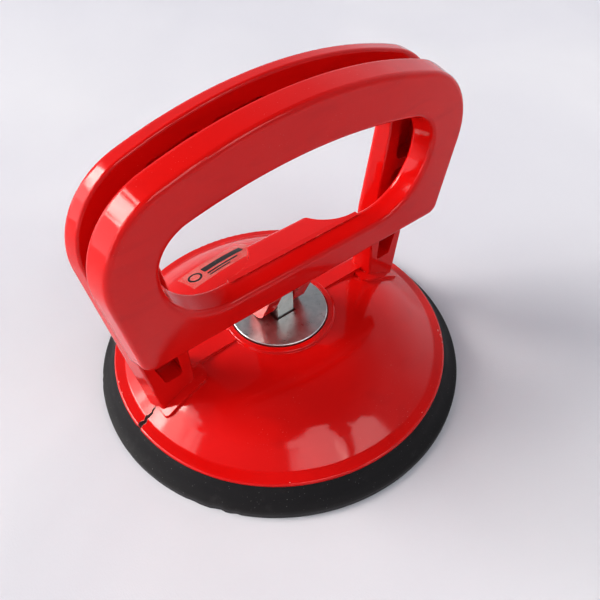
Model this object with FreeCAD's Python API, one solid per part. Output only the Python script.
"""Single-cup vacuum lifter: a rubber pad under a plastic dome, a fixed loop handle moulded with
the dome, and a loop lever with cam ears that draws a steel bar and the middle of the pad upwards.

Millimetres. The origin is the middle of the pad's sealing face, +Z is up, the loops lie along X,
the lever is on the -Y side. The lever is upright, so the pad is drawn up, as when holding."""

import FreeCAD, Part
import math
import os

os.makedirs("parts", exist_ok=True)

Vector = FreeCAD.Vector

# Rubber pad
PAD_R = 59.0
PAD_LIP_H = 2.3
PAD_RIM_TOP = 8.1
PAD_CAVITY_H = 4.0
PAD_RECESS_GAP = 0.3

# Dome
RIM_R = 53.8
RIM_TOP = 9.1
STEP_R = 50.4
STEP_Z = 9.6
SEAT_Z = 20.15
BOSS_R = 17.6
BOSS_TOP = 21.2
DOME_TOP = 20.3
ROOF_Z = 17.7
GUIDE_R = 8.0
GUIDE_H = 3.6

# Washer under the cam ears
WASHER_R = 15.3
WASHER_T = 1.5
WASHER_TOP = SEAT_Z + WASHER_T
WASHER_SLOT = (7.4, 8.0)

# Loops
HALF_WIDTH = 58.0
SHOULDER_Z = 89.2
SHOULDER_R = 23.5
APEX_Z = 106.8
APEX_R = 130.0
HOLE_APEX_Z = 89.4
HOLE_SHOULDER_R = 10.0
HOLE_SHOULDER_Z = 79.8
HANDLE_HOLE_APEX_R = 120.0
LEVER_HOLE_APEX_R = 140.0

# Fixed handle
POST_FOOT_X = (32.2, 47.6)
POST_BASE_Z = 8.3
HANDLE_FRONT_Y = -5.2
HANDLE_FRONT_LEAN = 0.02
HANDLE_DRAFT = 0.3
HANDLE_BACK_Y = 3.0
HANDLE_BACK_LEAN = 0.015
HANDLE_BACK_FILLET = 1.8
HANDLE_FRONT_FILLET = 0.8
POCKET_FLOOR_Y = 0.7
PLINTH_X = (30.8, 46.6)
PLINTH_Y = (-7.6, 3.4)
PLINTH_H = 1.3
PLATFORM = (34.5, -1.8, HANDLE_BACK_Y, 21.0)

# Label
LABEL_TURN_DEG = 6.0

# Plunger
BAR_X = 6.0
BAR_Y = 7.0
BAR_TOP = 34.4
BAR_FIT = 0.3
NECK_R = 2.9
RIVET_R = 4.5
RIVET_H = 1.2
PLATE_R = 28.0
PLATE_Z = 7.0
PLATE_T = 1.5
PLATE_TOP = PLATE_Z + PLATE_T
SPRING_WIRE_R = 0.75
SPRING_TURNS = 3.0
SPRING_R = (15.5, 10.5)

# Lever
PIN_Z = 30.1
PIN_R = 2.0
PIN_HALF = 7.8
PIN_FIT = 0.05
LEVER_BOTTOM = 43.3
LEVER_HALF_AT_BOTTOM = 51.5
LEVER_HOLE_BOTTOM = 54.3
LEVER_HOLE_HALF = 40.5
LEVER_HOLE_LOW_R = 16.2
LEVER_FRONT_Y = -15.2
LEVER_FRONT_LEAN = 0.031
LEVER_BACK_Y = -8.3
LEVER_BACK_LEAN = 0.0152
LEVER_DRAFT = 0.18
LEVER_FRONT_FILLET = 1.5
LEVER_BACK_FILLET = 1.3
HUB_BACK_Y = 1.2
HUB_HALF = 10.4
EAR_X = (3.3, 8.0)
EAR_ROOF = 37.5
HEEL_Y = 4.2

# Cam: the ear's outline keeps its distance to the washer while the bar drops evenly
CAM_GAP = 0.1
CAM_RISE = PIN_Z - WASHER_TOP - CAM_GAP
CAM_DROP_PER_RAD = 3.4
CAM_END_DEG = 67.0


def rounded_wire(corners, place):
    """A closed wire through (u, v, radius) corners, each corner turned into a tangent arc."""
    starts, ends, middles = [], [], []
    for i, (u, v, radius) in enumerate(corners):
        corner = Vector(u, v, 0)
        before = Vector(*corners[i - 1][:2], 0) - corner
        after = Vector(*corners[(i + 1) % len(corners)][:2], 0) - corner
        half = before.getAngle(after) / 2
        back = radius / math.tan(half)
        starts.append(corner + before.normalize() * back)
        ends.append(corner + after.normalize() * back)
        inward = (before + after).normalize()
        middles.append(corner + inward * (radius / math.sin(half) - radius))
    edges = []
    for i, (_, _, radius) in enumerate(corners):
        if radius > 0:
            arc = Part.Arc(place(starts[i]), place(middles[i]), place(ends[i]))
            edges.append(arc.toShape())
        following = starts[(i + 1) % len(corners)]
        if (following - ends[i]).Length > 1e-6:
            edges.append(Part.LineSegment(place(ends[i]), place(following)).toShape())
    return Part.Wire(edges)


def mirrored(half):
    """A closed outline from its right half, which runs from the bottom to the top middle."""
    left = [(-u, v, radius) for u, v, radius in reversed(half) if u > 0]
    return half + left


def slab_xz(corners, y_low, y_high):
    wire = rounded_wire(corners, lambda p: Vector(p.x, y_low, p.y))
    return Part.Face(wire).extrude(Vector(0, y_high - y_low, 0))


def drafted_slab_xz(outline_at, y_back, y_front, draft):
    """A slab whose outline draws in evenly from the back to the front."""
    ends = []
    for y in (y_back, y_front):
        corners = outline_at(draft * (y_back - y))
        ends.append(rounded_wire(corners, lambda p: Vector(p.x, y, p.y)))
    return Part.makeLoft(ends, True, True)


def slab_yz(corners, x_low, x_high):
    wire = rounded_wire(corners, lambda p: Vector(x_low, p.x, p.y))
    return Part.Face(wire).extrude(Vector(x_high - x_low, 0, 0))


def slab_xy(corners, z_low, z_high):
    wire = rounded_wire(corners, lambda p: Vector(p.x, p.y, z_low))
    return Part.Face(wire).extrude(Vector(0, 0, z_high - z_low))


def turned(corners):
    """A solid turned about Z from an (r, z, radius) outline."""
    wire = rounded_wire(corners, lambda p: Vector(p.x, 0, p.y))
    return Part.Face(wire).revolve(Vector(0, 0, 0), Vector(0, 0, 1), 360)


def box(x_low, x_high, y_low, y_high, z_low, z_high):
    corner = Vector(x_low, y_low, z_low)
    return Part.makeBox(x_high - x_low, y_high - y_low, z_high - z_low, corner)


def bar_hole(size_x, size_y, z_low, z_high):
    return box(-size_x / 2, size_x / 2, -size_y / 2, size_y / 2, z_low, z_high)


def cylinder(radius, z_low, z_high):
    return Part.makeCylinder(radius, z_high - z_low, Vector(0, 0, z_low))


def x_cylinder(radius, x_low, x_high, z):
    return Part.makeCylinder(radius, x_high - x_low, Vector(x_low, 0, z), Vector(1, 0, 0))


def edges_on(shape, distance):
    """The edges along which distance(point) is zero."""
    found = []
    for edge in shape.Edges:
        inner_points = edge.discretize(5)[1:-1]
        if all(abs(distance(point)) < 1e-4 for point in inner_points):
            found.append(edge)
    return found


def save(name, shape):
    shape = shape.removeSplitter()
    assert shape.isValid(), name
    shape.exportStep(f"parts/{name}.step")
    print(name, len(shape.Solids), round(shape.Volume, 1))
    return shape


# Housing: dome and fixed handle, one moulding


def dome_outside():
    return turned([
        (0, SEAT_Z, 0),
        (WASHER_R + 0.3, SEAT_Z, 0),
        (WASHER_R + 0.3, BOSS_TOP, 0.3),
        (BOSS_R, BOSS_TOP, 0.6),
        (BOSS_R, DOME_TOP, 0.4),
        (34.0, DOME_TOP - 0.2, 46.0),
        (STEP_R, STEP_Z, 1.5),
        (RIM_R, RIM_TOP, 0.7),
        (RIM_R, PAD_RIM_TOP, 0),
        (0, PAD_RIM_TOP, 0),
    ])


def dome_hollow():
    return turned([
        (0, PAD_RIM_TOP, 0),
        (47.2, PAD_RIM_TOP, 0),
        (33.0, ROOF_Z - 0.3, 44.0),
        (BOSS_R, ROOF_Z, 0),
        (0, ROOF_Z, 0),
    ])


def handle_front(z):
    return HANDLE_FRONT_Y + HANDLE_FRONT_LEAN * (z - POST_BASE_Z)


def handle_back(z):
    return HANDLE_BACK_Y - HANDLE_BACK_LEAN * (z - POST_BASE_Z)


def handle_outline(inset):
    return mirrored([
        (POST_FOOT_X[1] - inset, POST_BASE_Z, 0),
        (HALF_WIDTH - inset, SHOULDER_Z, SHOULDER_R - inset),
        (0, APEX_Z, APEX_R - 6 * inset),
    ])


def handle_opening(inset):
    return mirrored([
        (POST_FOOT_X[0] + inset, POST_BASE_Z - 5, 0),
        (32.4 + inset, 44.0, 30.0),
        (35.3 + inset, 66.0, 40.0),
        (37.0 + inset, HOLE_SHOULDER_Z + 0.8, HOLE_SHOULDER_R),
        (0, HOLE_APEX_Z, HANDLE_HOLE_APEX_R),
    ])


def fixed_loop():
    """The fixed handle: two posts and the top bar. Its sides draw in towards the front."""
    top = APEX_Z + 5
    side = [
        (handle_front(POST_BASE_Z), POST_BASE_Z, 0),
        (handle_back(POST_BASE_Z), POST_BASE_Z, 0),
        (handle_back(top), top, 0),
        (handle_front(top), top, 0),
    ]
    depth = (HANDLE_BACK_Y, HANDLE_FRONT_Y - 3, HANDLE_DRAFT)
    loop = drafted_slab_xz(handle_outline, *depth).cut(drafted_slab_xz(handle_opening, *depth))
    loop = loop.common(slab_yz(side, -60, 60))
    back = edges_on(loop, lambda p: p.y - (handle_back(p.z) if p.z > POST_BASE_Z else 0))
    loop = loop.makeFillet(HANDLE_BACK_FILLET, back)
    front = edges_on(loop, lambda p: p.y - (handle_front(p.z) if p.z > POST_BASE_Z else 0))
    return loop.makeFillet(HANDLE_FRONT_FILLET, front)


def pocket_outlines():
    """Coring pockets of the right half, which open towards the lever."""
    return [
        [(37.6, 24.0, 1.2), (43.2, 24.0, 1.2), (47.2, 39.0, 2.5), (38.6, 39.0, 2.5)],
        [(39.2, 42.2, 2.5), (48.0, 42.2, 2.5), (49.9, 57.6, 2.5), (40.6, 57.6, 2.5)],
        [(41.6, 60.7, 2.5), (51.2, 60.7, 2.5), (51.8, 75.4, 6.0), (47.0, 84.4, 2.5),
         (42.3, 79.0, 1.5)],
        [(3.5, 90.6, 1.5), (3.5, 96.6, 1.5), (18.0, 95.2, 1.5), (18.0, 89.4, 1.5)],
        [(21.0, 88.9, 1.5), (21.0, 94.6, 1.5), (35.0, 91.2, 1.5), (35.5, 86.2, 1.5)],
    ]


def handle_pockets():
    right = [slab_xz(outline, -20, POCKET_FLOOR_Y) for outline in pocket_outlines()]
    left = [pocket.mirror(Vector(0, 0, 0), Vector(1, 0, 0)) for pocket in right]
    return right + left


def plinths():
    """A low step around the foot of each post, which follows the dome."""
    inner_x, outer_x = PLINTH_X
    front, back = PLINTH_Y
    right = slab_xy([
        (inner_x, front, 2.5),
        (outer_x, front, 1.5),
        (outer_x, back, 1.5),
        (inner_x, back, 1.5),
    ], PAD_RIM_TOP + 1, 40)
    raised = dome_outside()
    raised.translate(Vector(0, 0, PLINTH_H))
    right = right.common(raised)
    return [right, right.mirror(Vector(0, 0, 0), Vector(1, 0, 0))]


def dome_housing():
    half_length, front, back, top = PLATFORM
    platform = box(-half_length, half_length, front, back, PAD_RIM_TOP, top)
    body = dome_outside().multiFuse([fixed_loop(), platform] + plinths())
    body = body.cut(dome_hollow())
    body = body.fuse(cylinder(GUIDE_R, ROOF_Z - GUIDE_H, SEAT_Z))
    washer_recess = cylinder(WASHER_R + 0.3, SEAT_Z, SEAT_Z + 5)
    slot = bar_hole(BAR_X + 2 * BAR_FIT, BAR_Y + 2 * BAR_FIT, 0, SEAT_Z + 1)
    return body.cut(handle_pockets() + [washer_recess, slot])


def clear_label():
    """A thin clear film on the dome, behind the fixed handle."""
    film = dome_outside()
    film.translate(Vector(0, 0, 0.17))
    below = dome_outside()
    below.translate(Vector(0, 0, 0.02))
    patch = box(-12.6, 15.9, 27.6, 37.6, 5, 30)
    patch.rotate(Vector(0, 0, 0), Vector(0, 0, 1), LABEL_TURN_DEG)
    return film.cut(below).common(patch)


def wear_washer():
    disc = cylinder(WASHER_R, SEAT_Z, WASHER_TOP)
    disc = disc.makeChamfer(0.2, edges_on(disc, lambda p: p.z - WASHER_TOP))
    return disc.cut(bar_hole(*WASHER_SLOT, 0, WASHER_TOP + 1))


# Pad and plunger


def rubber_pad():
    recess_r = PLATE_R + PAD_RECESS_GAP
    pad = turned([
        (0, PAD_CAVITY_H, 0),
        (30.0, PAD_CAVITY_H, 12.0),
        (47.0, 0, 8.0),
        (PAD_R, 0, 0.3),
        (PAD_R, PAD_LIP_H, 0.3),
        (55.4, 5.8, 6.0),
        (53.2, PAD_RIM_TOP, 0.4),
        (47.4, PAD_RIM_TOP, 0),
        (45.0, 6.2, 1.5),
        (33.0, 6.2, 1.5),
        (31.0, PLATE_TOP, 0.6),
        (recess_r, PLATE_TOP, 0),
        (recess_r, PLATE_Z, 0),
        (0, PLATE_Z, 0),
    ])
    return pad.cut(cylinder(RIVET_R + PAD_RECESS_GAP, PLATE_Z - RIVET_H, PLATE_Z))


def backing_plate():
    plate = cylinder(PLATE_R, PLATE_Z, PLATE_TOP)
    return plate.cut(cylinder(NECK_R, 0, 20))


def plunger_bar():
    """A flat bar riveted to the plate, with an eye for the pivot pin at its top."""
    corner_r = 1.2
    side = [
        (-BAR_Y / 2, PLATE_TOP, 0),
        (BAR_Y / 2, PLATE_TOP, 0),
        (BAR_Y / 2, BAR_TOP, corner_r),
        (-BAR_Y / 2, BAR_TOP, corner_r),
    ]
    bar = slab_yz(side, -BAR_X / 2, BAR_X / 2)
    neck = cylinder(NECK_R, PLATE_Z - RIVET_H, PLATE_TOP + 1)
    rivet = cylinder(RIVET_R, PLATE_Z - RIVET_H, PLATE_Z)
    eye = x_cylinder(PIN_R + PIN_FIT, -BAR_X, BAR_X, PIN_Z)
    return bar.multiFuse([neck, rivet]).cut(eye)


def return_spring():
    """A conical spring, wide at the plate and narrow under the dome."""
    low = PLATE_TOP + SPRING_WIRE_R
    high = ROOF_Z - SPRING_WIRE_R
    wide, narrow = SPRING_R
    steps = int(12 * SPRING_TURNS)
    points = []
    for i in range(steps + 1):
        share = i / steps
        turn = 2 * math.pi * SPRING_TURNS * share
        radius = wide + (narrow - wide) * share
        z = low + (high - low) * share
        points.append(Vector(radius * math.cos(turn), radius * math.sin(turn), z))
    coil = Part.BSplineCurve()
    coil.interpolate(points)
    path = coil.toShape()
    start = path.FirstParameter
    ring = Part.makeCircle(SPRING_WIRE_R, path.valueAt(start), path.tangentAt(start))
    return Part.Wire(path).makePipeShell([Part.Wire(ring)], True, True)


# Lever


def lever_front(z):
    return LEVER_FRONT_Y - LEVER_FRONT_LEAN * (z - LEVER_BOTTOM)


def lever_back(z):
    return LEVER_BACK_Y - LEVER_BACK_LEAN * (z - LEVER_BOTTOM)


def lever_outline(inset):
    return mirrored([
        (LEVER_HALF_AT_BOTTOM - inset, LEVER_BOTTOM + inset, 3.4),
        (HALF_WIDTH - inset, SHOULDER_Z - 0.74 * inset, SHOULDER_R - inset),
        (0, APEX_Z - 1.04 * inset, APEX_R - 6 * inset),
    ])


def lever_opening(inset):
    return mirrored([
        (LEVER_HOLE_HALF + inset, LEVER_HOLE_BOTTOM - inset, LEVER_HOLE_LOW_R + inset),
        (LEVER_HOLE_HALF + inset, HOLE_SHOULDER_Z + 0.77 * inset, HOLE_SHOULDER_R + inset),
        (0, HOLE_APEX_Z + 1.03 * inset, LEVER_HOLE_APEX_R),
    ])


def lever_loop():
    low, high = LEVER_BOTTOM - 5, APEX_Z + 5
    side = [
        (lever_front(low), low, 0),
        (lever_back(low), low, 0),
        (lever_back(high), high, 0),
        (lever_front(high), high, 0),
    ]
    depth = (LEVER_BACK_Y + 0.3, LEVER_FRONT_Y - 6, LEVER_DRAFT)
    loop = drafted_slab_xz(lever_outline, *depth).cut(drafted_slab_xz(lever_opening, *depth))
    loop = loop.common(slab_yz(side, -60, 60))
    front = edges_on(loop, lambda p: p.y - lever_front(p.z))
    loop = loop.makeFillet(LEVER_FRONT_FILLET, front)
    back = edges_on(loop, lambda p: p.y - lever_back(p.z))
    return loop.makeFillet(LEVER_BACK_FILLET, back)


def lever_hub():
    """The block behind the crossbar: it flares out to the crossbar in two hollow curves."""
    neck_back = lever_back(LEVER_HOLE_BOTTOM)
    inside = neck_back - 1.5
    plan = mirrored([
        (22.0, inside, 0),
        (22.0, neck_back, 0),
        (12.6, neck_back, 11.0),
        (HUB_HALF - 0.6, HUB_BACK_Y, 3.5),
    ])
    side = [
        (inside, LEVER_BOTTOM, 0),
        (inside, LEVER_HOLE_BOTTOM, 0),
        (neck_back, LEVER_HOLE_BOTTOM, 0),
        (HUB_BACK_Y, LEVER_HOLE_BOTTOM - 1.4, 3.0),
        (HUB_BACK_Y, LEVER_BOTTOM, 0),
    ]
    return slab_xy(plan, LEVER_BOTTOM, 60).common(slab_yz(side, -30, 30))


def cam_point(turn):
    """The point of the ear that faces the washer when the lever has turned by this angle."""
    reach = CAM_RISE - CAM_DROP_PER_RAD * turn
    y = -reach * math.sin(turn) + CAM_DROP_PER_RAD * math.cos(turn)
    z = PIN_Z - reach * math.cos(turn) - CAM_DROP_PER_RAD * math.sin(turn)
    return y, z


def ear_block():
    """Both ears as one block along X, with the cam curve at its foot."""
    end = math.radians(CAM_END_DEG)
    steps = 16
    cam = [cam_point(end * i / steps) for i in range(steps + 1)]
    curve = Part.BSplineCurve()
    curve.interpolate([Vector(0, y, z) for y, z in cam])
    toe_y, toe_z = cam[-1]
    face_top = LEVER_BOTTOM + 1.0
    face_y = toe_y - (face_top - toe_z) / math.tan(end)
    corners = [
        Vector(0, toe_y, toe_z),
        Vector(0, face_y, face_top),
        Vector(0, HUB_BACK_Y, face_top),
        Vector(0, HEEL_Y, EAR_ROOF - 3),
        Vector(0, HEEL_Y, cam[0][1]),
        Vector(0, *cam[0]),
    ]
    edges = [curve.toShape()]
    for a, b in zip(corners, corners[1:]):
        edges.append(Part.LineSegment(a, b).toShape())
    face = Part.Face(Part.Wire(edges))
    face.translate(Vector(-EAR_X[1], 0, 0))
    return face.extrude(Vector(2 * EAR_X[1], 0, 0))


def lever_handle():
    body = lever_loop().multiFuse([lever_hub(), ear_block()])
    fork_gap = box(-EAR_X[0], EAR_X[0], -20, 20, 0, EAR_ROOF)
    return body.cut([fork_gap, x_cylinder(PIN_R, -20, 20, PIN_Z)])


def pivot_pin():
    pin = x_cylinder(PIN_R, -PIN_HALF, PIN_HALF, PIN_Z)
    ends = edges_on(pin, lambda p: abs(p.x) - PIN_HALF)
    return pin.makeChamfer(0.4, ends)


def main():
    save("dome_housing", dome_housing())
    save("clear_label", clear_label())
    save("wear_washer", wear_washer())
    save("rubber_pad", rubber_pad())
    save("backing_plate", backing_plate())
    save("plunger_bar", plunger_bar())
    save("return_spring", return_spring())
    save("lever_handle", lever_handle())
    save("pivot_pin", pivot_pin())


main()
